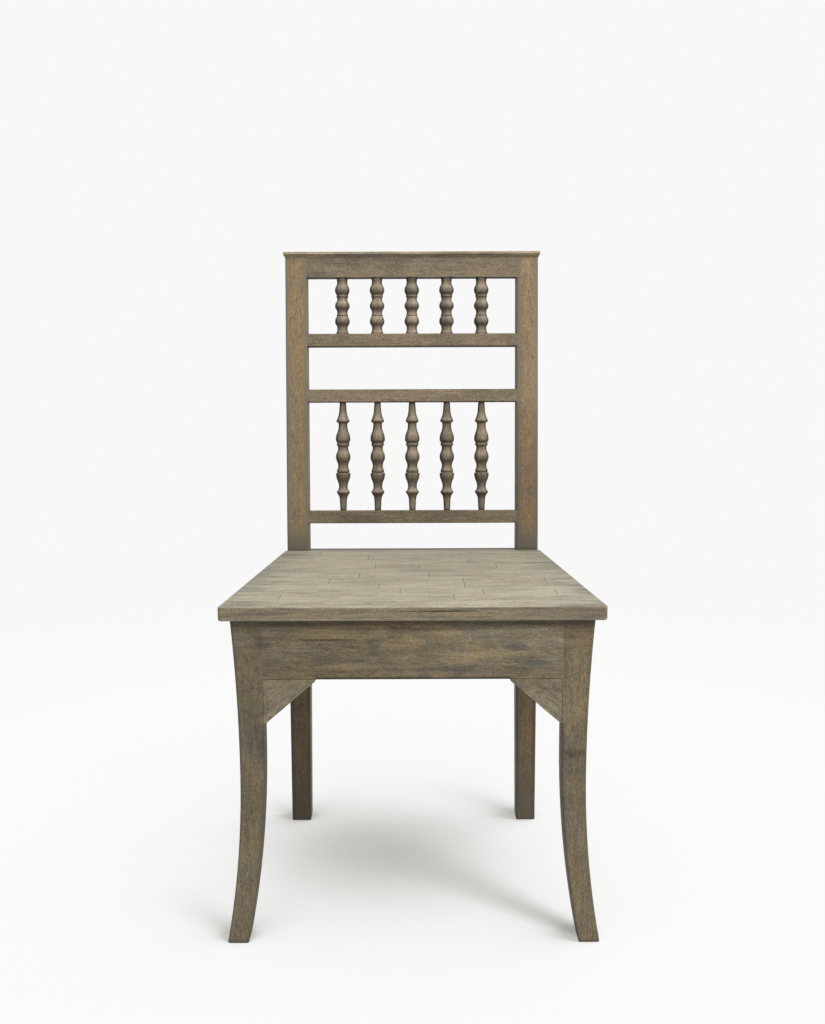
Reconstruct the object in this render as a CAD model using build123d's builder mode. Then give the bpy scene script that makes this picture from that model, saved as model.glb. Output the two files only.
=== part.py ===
from build123d import *
import os
from math import cos, radians, sin

# A spindle back dining chair in aged wood, built as a joiner builds it.
# Millimetres. The front faces -Y, +Z is up, and the origin is on the floor under the middle
# of the chair. Left and right are as seen from in front: left is -X.

# Seat, a panel of glued strips with butt joints along each strip
seat_height = 470
seat_thickness = 19
seat_front_width = 501
seat_back_overhang = 4.5
seat_depth = 447
seat_tongue = 22
seat_corner_radius = 5
seat_ease = 2.5
butt_gap = 0.6
# Where each strip is butted, from the front strip to the back one, by its distance from the middle
butt_joints = (
    (),
    (-177, 55),
    (-17, 96, 195),
    (-47, 73),
    (-119, 73, 190),
    (-78, 24),
    (),
    (-57, 10, 128),
    (86,),
    (-71,),
    (-151,),
    (),
)

# Rear posts, each one length from the floor to the crest
back_width = 416
post_width = 35.6
post_foot_width = 32
post_depth = 40
post_top_depth = 30
rear_foot_depth = 34
rear_foot_sweep = 5
rear_sweep_height = 320
back_rake = 5.2
bend_rise = 30
bend_radius = 600

# The back from the seat upwards, measured along its slope
seat_gap = 45.5
rail_height = 21
lower_spindle_length = 179.5
hand_gap = 70.5
upper_spindle_length = 92.2
crest_height = 31.5
cap_thickness = 10
cap_lip = 4
cap_overhang = 3.2
rail_thickness = 22

# Turned spindles
spindle_count = 5
belly_radius = 12.1
neck_radius = 8.4
slim_neck_radius = 7.3
bead_radius = 9.7
bead_groove_radius = 9
lip_radius = 10.5
lip_groove_radius = 9.5
collar_radius = 9
base_radius = 10.3
ring_radius = 10.9
ring_edge_radius = 10.1
waist_radius = 6
tip_radius = 5.2

# Front legs, curved in front view
front_overhang = 28
side_overhang = 11
front_leg_depth = 36
leg_top_width = 42
leg_waist_width = 32.4
leg_foot_width = 28.3
leg_foot_flare = 26
inner_waist_height = 265
outer_waist_height = 235

# Aprons under the seat, and the brackets under the front one
apron_height = 84.5
apron_thickness = 22
rear_apron_setback = 9
bracket_length = 69
bracket_drop = 60
bracket_toe = 3
bracket_thickness = 20
bracket_setback = 1

# Worn edges
post_ease = 2.5
rail_ease = 1.5
cap_ease = 1.5
foot_ease = 2

# Joints
joint_clearance = 0.15
rail_tenon_length = 14
rail_tenon_height = 13
crest_tenon_height = 20
rail_tenon_thickness = 8
apron_tenon_length = 12
side_tenon_length = 14
apron_tenon_height = 56
apron_tenon_thickness = 9
spindle_tenon_radius = 4
spindle_tenon_length = 9
dowel_radius = 3
dowel_length = 24
cap_dowel_depth = 6

# Corner blocks under the seat, and the screws through them
block_seat = 42
block_height = 30
block_clearance = 2
block_ledge = 14
screw_radius = 2
screw_head_radius = 4
screw_head_height = 2.5
screw_grip = 12
screw_bite = 12

# Heights and places that follow from the sizes above
slope = radians(back_rake)
row_count = len(butt_joints)
row_width = (seat_depth + seat_tongue) / row_count
apron_top = seat_height - seat_thickness
apron_bottom = apron_top - apron_height
bend_height = seat_height + bend_rise
post_outer = back_width / 2
post_inner = post_outer - post_width
leg_inner = seat_front_width / 2 - side_overhang - leg_top_width

lower_rail_base = seat_gap - bend_rise
lower_bank_base = lower_rail_base + rail_height
middle_rail_base = lower_bank_base + lower_spindle_length
upper_rail_base = middle_rail_base + rail_height + hand_gap
upper_bank_base = upper_rail_base + rail_height
crest_base = upper_bank_base + upper_spindle_length
post_top = crest_base + crest_height

# The cap's rounded back edge is the rearmost line, and the origin lies half way to the seat's front
cap_round_height = post_top + cap_thickness - cap_ease
cap_round_depth = post_top_depth + cap_overhang - cap_ease
overall_depth = seat_depth + sin(slope) * cap_round_height + cos(slope) * cap_round_depth + cap_ease
seat_front = -overall_depth / 2
seat_back = seat_front + seat_depth + seat_tongue
post_front = seat_front + seat_depth
leg_front = seat_front + front_overhang
leg_back = leg_front + front_leg_depth
front_apron_back = leg_front + apron_thickness
rear_apron_front = post_front + rear_apron_setback

# On this plane x runs across, y up the slope from the bend of the posts, and z to the front
back_face = Plane((0, post_front, bend_height), x_dir=(1, 0, 0), z_dir=(0, -cos(slope), sin(slope)))
rail_middle = back_face.offset(-rail_thickness / 2)
spindle_pitch = 2 * post_inner / (spindle_count + 1)
spindle_places = [(i - (spindle_count - 1) / 2) * spindle_pitch for i in range(spindle_count)]


def save(piece, name):
    piece.part.label = name
    export_step(piece.part, f"parts/{name}.step")


def upright(edge):
    return abs(edge.tangent_at(0.5).Z) > 0.9


def slope_plane(across, height):
    # Square to the slope of the back, on the line of the spindles, facing up
    origin = rail_middle.from_local_coords((across, height, 0))
    return Plane(origin, x_dir=(1, 0, 0), z_dir=rail_middle.y_dir)


def rail_tenons(base, height, tenon_height, clearance=0, mode=Mode.ADD):
    # One bar through the rail gives both tenons, or cuts the mortise in a post
    with BuildSketch(rail_middle) as bar:
        with Locations((0, base + height / 2)):
            Rectangle(2 * (post_inner + rail_tenon_length + clearance), tenon_height + 2 * clearance)
    extrude(bar.sketch, amount=rail_tenon_thickness / 2 + clearance, both=True, mode=mode)


def spindle_sockets(height, up):
    depth = spindle_tenon_length + joint_clearance
    with BuildSketch(slope_plane(0, height)) as sockets:
        with GridLocations(spindle_pitch, 0, spindle_count, 1):
            Circle(spindle_tenon_radius + joint_clearance)
    extrude(sockets.sketch, amount=depth if up else -depth, mode=Mode.SUBTRACT)


def cap_dowel_planes():
    # Into the top of each post, clear of the crest tenon, and twice into the crest rail
    post_place = post_outer - post_width / 3
    return [slope_plane(x, post_top) for x in (-post_place, -spindle_pitch, spindle_pitch, post_place)]


def dowels(planes, below, above, clearance=0, mode=Mode.ADD):
    for plane in planes:
        with BuildSketch(plane.offset(-below - clearance)) as end:
            Circle(dowel_radius + clearance)
        extrude(end.sketch, amount=below + above + 2 * clearance, mode=mode)


def apron_bar(y_middle, tenon_length, clearance=0, mode=Mode.ADD):
    # Both tenons of a cross apron as one bar, or the mortises for them
    half = (leg_inner if y_middle < 0 else post_inner) + tenon_length + clearance
    with BuildSketch(Plane.XY.offset(apron_top - apron_height / 2)) as bar:
        with Locations((0, y_middle)):
            Rectangle(2 * half, apron_tenon_thickness + 2 * clearance)
    extrude(bar.sketch, amount=apron_tenon_height / 2 + clearance, both=True, mode=mode)


def side_line(y):
    # The middle of the right side apron, from the middle of the leg to the middle of the post
    leg_middle = leg_inner + leg_top_width / 2
    post_middle = post_inner + post_width / 2
    return leg_middle + (post_middle - leg_middle) * (y - leg_back) / (post_front - leg_back)


def side_bar(width, y_start, y_end, height, mode=Mode.ADD):
    corners = [(side_line(y) + s * width / 2, y) for y, s in
               ((y_start, -1), (y_start, 1), (y_end, 1), (y_end, -1))]
    with BuildSketch(Plane.XY.offset(apron_top - apron_height / 2)) as bar:
        Polygon(*corners, align=None)
    extrude(bar.sketch, amount=height / 2, both=True, mode=mode)


def side_tenons(clearance=0, mode=Mode.ADD):
    reach = side_tenon_length + clearance
    side_bar(apron_tenon_thickness + 2 * clearance, leg_back - reach, post_front + reach,
             apron_tenon_height + 2 * clearance, mode)


def side_inner(y):
    return side_line(y) - apron_thickness / 2


def bracket_dowel_planes(side):
    # One up into the apron and one sideways into the leg, both in the middle of the bracket
    y = leg_front + bracket_setback + bracket_thickness / 2
    up = Plane((side * (leg_inner - bracket_length * 0.4), y, apron_bottom))
    across = Plane((side * leg_inner, y, apron_bottom - bracket_drop * 0.4), z_dir=(side, 0, 0))
    return up, across


class Corner:
    """A corner of the seat frame: the outline of its block and where the screws start."""

    def __init__(self, side, front):
        way = 1 if front else -1
        inner = leg_inner if front else post_inner
        apron = front_apron_back if front else rear_apron_front
        near = (leg_back if front else post_front) + way * block_clearance
        far = near + way * block_seat
        notch = inner - block_clearance
        self.outline = [(side * x, y) for x, y in (
            (notch - block_seat, apron), (notch, apron), (notch, near),
            (side_inner(near), near), (side_inner(far), far))]
        # Each screw starts from the floor of its bore, a grip away from the wood that it bites
        self.to_apron = Plane((side * (notch - block_seat / 2), apron + way * screw_grip,
                               apron_top - block_ledge), z_dir=(0, -way, 0))
        middle = near + way * block_seat / 2
        self.to_side = Plane((side * (side_inner(middle) - screw_grip), middle,
                              apron_top - block_ledge), z_dir=(side, 0, 0))
        self.to_seat = Plane((side * notch, near, apron_top - screw_grip))
        self.to_seat.origin += Vector(-side * block_ledge, way * block_ledge, 0)


def screws(planes):
    for plane in planes:
        with BuildSketch(plane) as shank:
            Circle(screw_radius)
        extrude(shank.sketch, amount=screw_grip + screw_bite)
        with BuildSketch(plane) as head:
            Circle(screw_head_radius)
        extrude(head.sketch, amount=-screw_head_height)


def screw_holes(planes):
    for plane in planes:
        with BuildSketch(plane) as hole:
            Circle(screw_radius + joint_clearance)
        extrude(hole.sketch, amount=screw_grip + screw_bite + joint_clearance, mode=Mode.SUBTRACT)


def screw_bores(planes, depth):
    for plane in planes:
        with BuildSketch(plane) as bore:
            Circle(screw_head_radius + joint_clearance)
        extrude(bore.sketch, amount=-depth, mode=Mode.SUBTRACT)


os.makedirs("parts", exist_ok=True)
corners = {(side, end): Corner(1 if side == "right" else -1, end == "front")
           for side in ("left", "right") for end in ("front", "rear")}

# Rear posts: the side outline is cut first, then the taper of the leg in front view
with BuildPart() as rear_post_right:
    top_front = (post_front + sin(slope) * post_top, bend_height + cos(slope) * post_top)
    top_back = (top_front[0] + cos(slope) * post_top_depth, top_front[1] - sin(slope) * post_top_depth)
    with BuildSketch(Plane.YZ.offset(post_inner)) as post_side:
        with BuildLine():
            Polyline(
                (post_front + rear_foot_sweep, 0),
                (post_front, rear_sweep_height),
                (post_front, bend_height),
                top_front,
                top_back,
                (post_front + post_depth, bend_height),
                (post_front + rear_foot_sweep + rear_foot_depth, 0),
                close=True,
            )
        make_face()
        fillet(post_side.vertices().group_by(Axis.Y)[2], bend_radius)
    extrude(amount=post_width)
    with BuildSketch(Plane.XZ):
        Polygon(
            (post_outer - post_foot_width, 0),
            (post_outer, 0),
            (post_outer, top_front[1]),
            (post_inner, top_front[1]),
            (post_inner, apron_bottom),
            align=None,
        )
    extrude(amount=overall_depth, both=True, mode=Mode.INTERSECT)
    fillet(rear_post_right.edges().filter_by(upright), post_ease)
    fillet(rear_post_right.faces().sort_by(Axis.Z)[0].edges(), foot_ease)
    # The edge stays square where a rail meets the post flush
    for base in (lower_rail_base, middle_rail_base, upper_rail_base, crest_base):
        joint_height = crest_height if base == crest_base else rail_height
        with BuildSketch(back_face):
            with Locations((post_inner, base)):
                Rectangle(post_ease, joint_height, align=Align.MIN)
        extrude(amount=-post_ease)
    for base in (lower_rail_base, middle_rail_base, upper_rail_base):
        rail_tenons(base, rail_height, rail_tenon_height, joint_clearance, Mode.SUBTRACT)
    rail_tenons(crest_base, crest_height, crest_tenon_height, joint_clearance, Mode.SUBTRACT)
    apron_bar(rear_apron_front + apron_thickness / 2, apron_tenon_length, joint_clearance, Mode.SUBTRACT)
    side_tenons(joint_clearance, Mode.SUBTRACT)
    dowels(cap_dowel_planes(), dowel_length - cap_dowel_depth, 0, joint_clearance, Mode.SUBTRACT)
save(rear_post_right, "rear_post_right")

with BuildPart() as rear_post_left:
    mirror(rear_post_right.part, about=Plane.YZ)
save(rear_post_left, "rear_post_left")

# Plain rails of the back
for name, base, sockets in (
    ("lower_rail", lower_rail_base, lower_bank_base),
    ("middle_rail", middle_rail_base, middle_rail_base),
    ("upper_rail", upper_rail_base, upper_bank_base),
):
    with BuildPart() as rail:
        with BuildSketch(rail_middle):
            with Locations((0, base + rail_height / 2)):
                Rectangle(2 * post_inner, rail_height)
        extrude(amount=rail_thickness / 2, both=True)
        fillet(rail.edges().filter_by(Axis.X), rail_ease)
        rail_tenons(base, rail_height, rail_tenon_height)
        spindle_sockets(sockets, up=sockets == base)
    save(rail, name)

# Crest rail between the heads of the posts
with BuildPart() as crest_rail:
    with BuildSketch(rail_middle):
        with Locations((0, crest_base + crest_height / 2)):
            Rectangle(2 * post_inner, crest_height)
    extrude(amount=rail_thickness / 2, both=True)
    fillet(crest_rail.edges().filter_by(Axis.X).group_by(Axis.Z)[0], rail_ease)
    rail_tenons(crest_base, crest_height, crest_tenon_height)
    spindle_sockets(crest_base, up=True)
    dowels(cap_dowel_planes(), dowel_length - cap_dowel_depth, 0, joint_clearance, Mode.SUBTRACT)
save(crest_rail, "crest_rail")

# Crest cap: its bevel grows from the heads of the posts to a rounded lip
with BuildPart() as crest_cap:
    cap_seat = Plane(back_face.from_local_coords((0, post_top, -post_top_depth / 2)),
                     x_dir=(1, 0, 0), z_dir=rail_middle.y_dir)
    lip_plane = cap_seat.offset(cap_thickness - cap_lip)
    with BuildSketch(cap_seat):
        Rectangle(back_width, post_top_depth)
    with BuildSketch(lip_plane):
        Rectangle(back_width + 2 * cap_overhang, post_top_depth + 2 * cap_overhang)
    loft(ruled=True)
    with BuildSketch(lip_plane):
        Rectangle(back_width + 2 * cap_overhang, post_top_depth + 2 * cap_overhang)
    extrude(amount=cap_lip)
    fillet(crest_cap.faces().sort_by(Axis.Z)[-1].edges(), cap_ease)
    dowels(cap_dowel_planes(), 0, cap_dowel_depth, joint_clearance, Mode.SUBTRACT)
save(crest_cap, "crest_cap")

with BuildPart() as cap_dowels:
    dowels(cap_dowel_planes(), dowel_length - cap_dowel_depth, cap_dowel_depth)
save(cap_dowels, "cap_dowels")


def turned_spindle(across, base, length, outline):
    # The outline is drawn beside its own axis, which stands on the rail, and turned about it
    origin = rail_middle.from_local_coords((across, base, 0))
    plane = Plane(origin, x_dir=(1, 0, 0), z_dir=rail_middle.z_dir)
    with BuildPart() as spindle:
        with BuildSketch(plane):
            with BuildLine():
                outline(length)
            make_face()
        revolve(axis=Axis(plane.origin, plane.y_dir))
    return spindle


def end_tenon(foot, head, length):
    # Closes an outline from the head back to the foot, round both tenons
    Polyline(
        head,
        (spindle_tenon_radius, length),
        (spindle_tenon_radius, length + spindle_tenon_length),
        (0, length + spindle_tenon_length),
        (0, -spindle_tenon_length),
        (spindle_tenon_radius, -spindle_tenon_length),
        (spindle_tenon_radius, 0),
        foot,
    )


def ogee(start, end):
    # Two equal arcs that leave both ends along the spindle, as a cove rolls into a bead
    middle = (start[0] + end[0]) / 2, (start[1] + end[1]) / 2
    TangentArc(start, middle, tangent=(0, 1))
    TangentArc(end, middle, tangent=(0, -1))


def rise(start, end):
    TangentArc(start, end, tangent=(0, 1))


def fall(start, end):
    TangentArc(end, start, tangent=(0, -1))


def upper_outline(length):
    # Short spindle: flared base, onion, middle bulb and pear, parted by necks, a groove and a fillet
    def at(radius, share):
        return radius, share * length

    foot, head = at(base_radius, 0), at(collar_radius, 1)
    base_top, base_neck = at(base_radius, 0.02), at(neck_radius, 0.103)
    onion, onion_shoulder, onion_lip = at(belly_radius, 0.226), at(bead_radius, 0.308), at(bead_radius, 0.331)
    low_neck, bulb, high_neck = at(neck_radius, 0.385), at(belly_radius, 0.502), at(neck_radius, 0.63)
    fillet_base, fillet_top = at(bead_radius, 0.664), at(bead_radius, 0.69)
    pear_groove, pear, top_neck = at(bead_groove_radius, 0.7), at(belly_radius, 0.782), at(neck_radius, 0.925)
    Line(foot, base_top)
    fall(base_top, base_neck)
    ogee(base_neck, onion)
    rise(onion, onion_shoulder)
    Polyline(onion_shoulder, at(bead_groove_radius, 0.32), onion_lip)
    fall(onion_lip, low_neck)
    ogee(low_neck, bulb)
    ogee(bulb, high_neck)
    rise(high_neck, fillet_base)
    Polyline(fillet_base, fillet_top, pear_groove)
    fall(pear_groove, pear)
    ogee(pear, top_neck)
    Polyline(top_neck, at(collar_radius, 0.97), head)
    end_tenon(foot, head, length)


def lower_outline(length):
    # Long spindle: a ring near each end, two vases back to back and a bulb between them
    def at(radius, share):
        return radius, share * length

    foot, head = at(tip_radius, 0), at(tip_radius, 1)
    low_waist, low_neck, rim = at(waist_radius, 0.095), at(slim_neck_radius, 0.218), at(belly_radius, 0.338)
    low_ring, low_ring_top = at(ring_edge_radius, 0.158), at(ring_edge_radius, 0.181)
    rim_lip, rim_lip_top, cup_neck = at(lip_radius, 0.358), at(lip_radius, 0.373), at(neck_radius, 0.413)
    bulb, high_neck = at(belly_radius, 0.494), at(neck_radius, 0.58)
    fillet_base, fillet_top = at(lip_radius, 0.604), at(lip_radius, 0.62)
    vase_groove, vase = at(lip_groove_radius, 0.627), at(belly_radius, 0.657)
    vase_neck, ring_neck = at(slim_neck_radius, 0.785), at(slim_neck_radius, 0.798)
    high_ring, high_ring_top = at(ring_edge_radius, 0.817), at(ring_edge_radius, 0.841)
    high_waist = at(waist_radius, 0.94)
    Line(foot, low_waist)
    rise(low_waist, low_ring)
    ThreePointArc(low_ring, at(ring_radius, 0.169), low_ring_top)
    fall(low_ring_top, low_neck)
    ogee(low_neck, rim)
    Polyline(rim, at(belly_radius, 0.345), at(lip_groove_radius, 0.352), rim_lip, rim_lip_top)
    fall(rim_lip_top, cup_neck)
    ogee(cup_neck, bulb)
    ogee(bulb, high_neck)
    rise(high_neck, fillet_base)
    Polyline(fillet_base, fillet_top, vase_groove)
    fall(vase_groove, vase)
    ogee(vase, vase_neck)
    Line(vase_neck, ring_neck)
    rise(ring_neck, high_ring)
    ThreePointArc(high_ring, at(ring_radius, 0.829), high_ring_top)
    fall(high_ring_top, high_waist)
    Line(high_waist, head)
    end_tenon(foot, head, length)


for number, across in enumerate(spindle_places, start=1):
    spindle = turned_spindle(across, upper_bank_base, upper_spindle_length, upper_outline)
    save(spindle, f"upper_spindle_{number}")
    spindle = turned_spindle(across, lower_bank_base, lower_spindle_length, lower_outline)
    save(spindle, f"lower_spindle_{number}")

# Front legs: both edges swing out from their waist to the foot
with BuildPart() as front_leg_right:
    inner_foot = leg_inner + leg_foot_flare
    outer_waist = (leg_inner + leg_waist_width, outer_waist_height)
    with BuildSketch(Plane.XZ.offset(-leg_front)):
        with BuildLine():
            Line((leg_inner, apron_top), (leg_inner, inner_waist_height))
            TangentArc((leg_inner, inner_waist_height), (inner_foot, 0), tangent=(0, -1))
            Line((inner_foot, 0), (inner_foot + leg_foot_width, 0))
            TangentArc(outer_waist, (inner_foot + leg_foot_width, 0), tangent=(0, -1))
            TangentArc(outer_waist, (leg_inner + leg_top_width, apron_top), tangent=(0, 1))
            Line((leg_inner + leg_top_width, apron_top), (leg_inner, apron_top))
        make_face()
    extrude(amount=-front_leg_depth)
    fillet(front_leg_right.edges().filter_by(upright), post_ease)
    fillet(front_leg_right.faces().sort_by(Axis.Z)[0].edges(), foot_ease)
    # The edge stays square where the apron and the bracket meet the leg
    with BuildSketch(Plane.XZ.offset(-leg_front)):
        with Locations((leg_inner, apron_bottom - bracket_drop)):
            Rectangle(post_ease, apron_height + bracket_drop, align=Align.MIN)
    extrude(amount=-post_ease)
    apron_bar(leg_front + apron_thickness / 2, apron_tenon_length, joint_clearance, Mode.SUBTRACT)
    side_tenons(joint_clearance, Mode.SUBTRACT)
    dowels([bracket_dowel_planes(1)[1]], 0, dowel_length / 2, joint_clearance, Mode.SUBTRACT)
save(front_leg_right, "front_leg_right")

with BuildPart() as front_leg_left:
    mirror(front_leg_right.part, about=Plane.YZ)
save(front_leg_left, "front_leg_left")

# Front and rear aprons
for name, span, y_front, end in (
    ("front_apron", leg_inner, leg_front, "front"),
    ("rear_apron", post_inner, rear_apron_front, "rear"),
):
    y_middle = y_front + apron_thickness / 2
    with BuildPart() as apron:
        with BuildSketch(Plane.XY.offset(apron_bottom)):
            with Locations((0, y_middle)):
                Rectangle(2 * span, apron_thickness)
        extrude(amount=apron_height)
        fillet(apron.edges().filter_by(Axis.X).group_by(Axis.Z)[0], rail_ease)
        apron_bar(y_middle, apron_tenon_length)
        screw_holes([corners[side, end].to_apron for side in ("left", "right")])
        if end == "front":
            uprights = [bracket_dowel_planes(side)[0] for side in (-1, 1)]
            dowels(uprights, 0, dowel_length / 2, joint_clearance, Mode.SUBTRACT)
    save(apron, name)

# Side aprons, which close in towards the back with the seat
with BuildPart() as side_apron_right:
    side_bar(apron_thickness, leg_back, post_front, apron_height)
    lower_edges = side_apron_right.faces().sort_by(Axis.Z)[0].edges()
    fillet(lower_edges.filter_by(Axis.X, reverse=True), rail_ease)
    side_tenons()
    screw_holes([corners["right", end].to_side for end in ("front", "rear")])
save(side_apron_right, "side_apron_right")

with BuildPart() as side_apron_left:
    mirror(side_apron_right.part, about=Plane.YZ)
save(side_apron_left, "side_apron_left")

# Brackets in the corners under the front apron
for name, side in (("left", -1), ("right", 1)):
    up, across = bracket_dowel_planes(side)
    with BuildPart() as bracket:
        with BuildSketch(Plane.XZ.offset(-leg_front - bracket_setback)):
            Polygon(
                *[(side * x, z) for x, z in (
                    (leg_inner, apron_bottom),
                    (leg_inner, apron_bottom - bracket_drop),
                    (leg_inner - bracket_toe, apron_bottom - bracket_drop),
                    (leg_inner - bracket_length, apron_bottom - bracket_toe),
                    (leg_inner - bracket_length, apron_bottom),
                )],
                align=None,
            )
        extrude(amount=-bracket_thickness)
        slanted = bracket.faces().filter_by(lambda face: 0.1 < abs(face.normal_at().X) < 0.9)
        fillet(slanted.edges().filter_by(Axis.Y, reverse=True), rail_ease)
        dowels([up], dowel_length / 2, 0, joint_clearance, Mode.SUBTRACT)
        dowels([across], dowel_length / 2, 0, joint_clearance, Mode.SUBTRACT)
    save(bracket, f"front_bracket_{name}")

with BuildPart() as bracket_dowels:
    for side in (-1, 1):
        dowels(bracket_dowel_planes(side), dowel_length / 2, dowel_length / 2)
save(bracket_dowels, "bracket_dowels")

# Corner blocks, notched round the legs and posts
for (side, end), corner in corners.items():
    with BuildPart() as block:
        with BuildSketch(Plane.XY.offset(apron_top - block_height)):
            Polygon(*corner.outline, align=None)
        extrude(amount=block_height)
        bores = [corner.to_apron, corner.to_side, corner.to_seat]
        screw_holes(bores)
        screw_bores(bores, block_seat)
    save(block, f"corner_block_{end}_{side}")

with BuildPart() as block_screws:
    for corner in corners.values():
        screws([corner.to_apron, corner.to_side])
save(block_screws, "block_screws")

with BuildPart() as seat_screws:
    screws([corner.to_seat for corner in corners.values()])
save(seat_screws, "seat_screws")

# Seat panel before it is parted into its strips
with BuildPart() as panel:
    half_front, half_back = seat_front_width / 2, post_outer + seat_back_overhang
    tongue = post_inner - joint_clearance
    with BuildSketch(Plane.XY.offset(apron_top)):
        Polygon(
            (-half_front, seat_front),
            (half_front, seat_front),
            (half_back, post_front),
            (tongue, post_front),
            (tongue, seat_back),
            (-tongue, seat_back),
            (-tongue, post_front),
            (-half_back, post_front),
            align=None,
        )
    extrude(amount=seat_thickness)
    fillet(panel.edges().filter_by(Axis.Z).group_by(Axis.Y)[0], seat_corner_radius)
    flat_faces = panel.faces().filter_by(Axis.Z)
    fillet(flat_faces.edges().filter_by(lambda edge: edge.center().Y < post_front - row_width), seat_ease)
    screw_holes([corner.to_seat for corner in corners.values()])

# Each strip is cut from the panel, and parted again where its staves butt
for row, joints in enumerate(butt_joints):
    row_middle = seat_front + (row + 0.5) * row_width
    with BuildPart() as strip:
        add(panel.part)
        with BuildSketch(Plane.XY.offset(apron_top)):
            with Locations((0, row_middle)):
                Rectangle(seat_front_width, row_width)
        extrude(amount=seat_thickness, mode=Mode.INTERSECT)
        if joints:
            with BuildSketch(Plane.XY.offset(apron_top)):
                with Locations(*[(x, row_middle) for x in joints]):
                    Rectangle(butt_gap, row_width)
            extrude(amount=seat_thickness, mode=Mode.SUBTRACT)
    save(strip, f"seat_strip_{row + 1:02d}")
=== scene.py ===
import math

import bpy
from bpy.props import FloatProperty, FloatVectorProperty, PointerProperty
from mathutils import Matrix, Vector


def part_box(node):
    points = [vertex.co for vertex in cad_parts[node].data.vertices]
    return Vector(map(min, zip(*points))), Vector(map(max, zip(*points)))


bl_info = {
    "name": "Spindle back chair",
    "version": (1, 0, 0),
    "blender": (4, 5, 0),
    "location": "View3D > Sidebar > Chair",
    "description": "Finishes a joined wooden chair in weathered wood and sets it on a pale stage",
    "category": "Object",
}

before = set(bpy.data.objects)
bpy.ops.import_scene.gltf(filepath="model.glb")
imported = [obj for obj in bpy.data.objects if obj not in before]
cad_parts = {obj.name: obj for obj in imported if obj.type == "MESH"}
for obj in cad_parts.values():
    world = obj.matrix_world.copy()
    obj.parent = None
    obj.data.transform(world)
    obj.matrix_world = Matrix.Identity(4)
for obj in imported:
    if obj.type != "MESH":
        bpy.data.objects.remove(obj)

# Nodes of the chair, by kind of piece
SIDES = ("left", "right")
POSTS = ("rear_post_left", "rear_post_right")
RAILS = ("crest_rail", "upper_rail", "middle_rail", "lower_rail")
LEGS = ("front_leg_left", "front_leg_right")
CROSS_APRONS = ("front_apron", "rear_apron")
SIDE_APRONS = ("side_apron_left", "side_apron_right")
BRACKETS = ("front_bracket_left", "front_bracket_right")
UPPER_SPINDLES = tuple(f"upper_spindle_{i}" for i in range(1, 6))
LOWER_SPINDLES = tuple(f"lower_spindle_{i}" for i in range(1, 6))
STRIPS = tuple(f"seat_strip_{i:02d}" for i in range(1, 13))
BLOCKS = tuple(f"corner_block_{end}_{side}" for end in ("front", "rear") for side in SIDES)
DOWELS = ("cap_dowels", "bracket_dowels")
SCREWS = ("block_screws", "seat_screws")

# Turns that bring the grain of a piece onto the X axis of its texture
GRAIN_X = (0.0, 0.0, 0.0)
GRAIN_Y = (0.0, 0.0, -math.pi / 2)
GRAIN_Z = (0.0, math.pi / 2, 0.0)
BRACKET_SLANT = math.radians(41)

# First seed of each kind of piece, and how far one seed shifts the pattern
POST_SEED = 1
RAIL_SEED = 3
CAP_SEED = 8
SPINDLE_SEED = 11
STRIP_SEED = 31
LEG_SEED = 51
APRON_SEED = 53
BRACKET_SEED = 57
RAW_SEED = 71
SEED_SHIFT = (0.37, 0.53, 0.71)

# Mottle that the aprons, the brackets and the heads of the legs share, and how much it swirls
BASE_SEED = 61
BASE_SWIRL = 0.9
LEG_SWIRL = 0.4

# Layers of the wood: features a metre along the grain and across it, detail, roughness and swirl
PATCH = (9.0, 26.0, 4.0, 0.55)
CLOUD = (30.0, 70.0, 4.0, 0.6)
SILVERING = (12.0, 33.0, 5.0, 0.62)
STREAK = (14.0, 180.0, 5.0, 0.6, 0.35)
FIBRE = (120.0, 800.0, 2.0, 0.6)
SPECK = (300.0, 420.0, 3.0, 0.65)
PORE = (40.0, 600.0, 1.0)
RIDGE = (2.6, 60.0, 3.0, 0.5, 0.3)
CRACKED = (8.0, 19.0, 2.0)
LAP_EDGE = (60.0, 60.0, 2.0)

# Levels of those layers between which a feature sets in
FIGURED = (0.3, 0.7)
SILVERED = (0.47, 0.66)
TANNED = (0.32, 0.5)
STREAKED = (0.36, 0.54)
PORE_OPEN = (0.6, 0.72)
CRACK_OPEN = (0.55, 0.66)
CRACK_WIDTH = 0.012

# Shares of the layers in the ground, in the figure, in the relief and in the gloss
PATCH_SHARE = 0.6
FIBRE_SHARE = 0.6
RELIEF_STREAK = 0.5
RELIEF_FIBRE = 0.35
RELIEF_SPECK = 0.35
RELIEF_PORE = 0.5
RELIEF_STRENGTH = 0.5
GLOSS_SPREAD = 0.24

# Sideways or upward lean of a face between which it comes to count as each of these
FLANK = (0.5, 0.95)
INWARD = (0.3, 0.8)
UNDERSIDE = (-0.8, -0.3)
TURNED = (-0.6, 0.6)
CAP_BEVEL = (-0.3, 0.0)
SEAT_SIDE = (0.3, 0.8)
SEAT_ARRIS = (0.1, 0.4)
SHADY_SIDE = (-0.95, -0.4)

# Openness of the inside of a piece between which its rim fades, and how ragged the rim is
OCCLUSION_SAMPLES = 6
RIM = (0.6, 0.95)
RIM_RAGGED = 0.35

# Shares of its reach between which a band along an upright edge fades
EDGE_FADE = (0.4, 1.2)

# How ragged the streaks from the sides of the seat and the spots are, and where a spot fades
BORDER_FADE = -0.3
BORDER_STREAKED = 2.6
BORDER_PATCHED = 3.0
SPOT_RAGGED = 1.6
SPOT_FADE = (0.35, 1.15)

# Reach of the dirt and painted shade in the corners of a piece
CORNER = 0.012

# How far a rail's tenon runs into a post, and how an edge gives way to a joint across and up
RAIL_TENON = 0.014
JOINT_REACH = (0.012, 0.02)
JOINT_FADE = 0.0015
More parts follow.
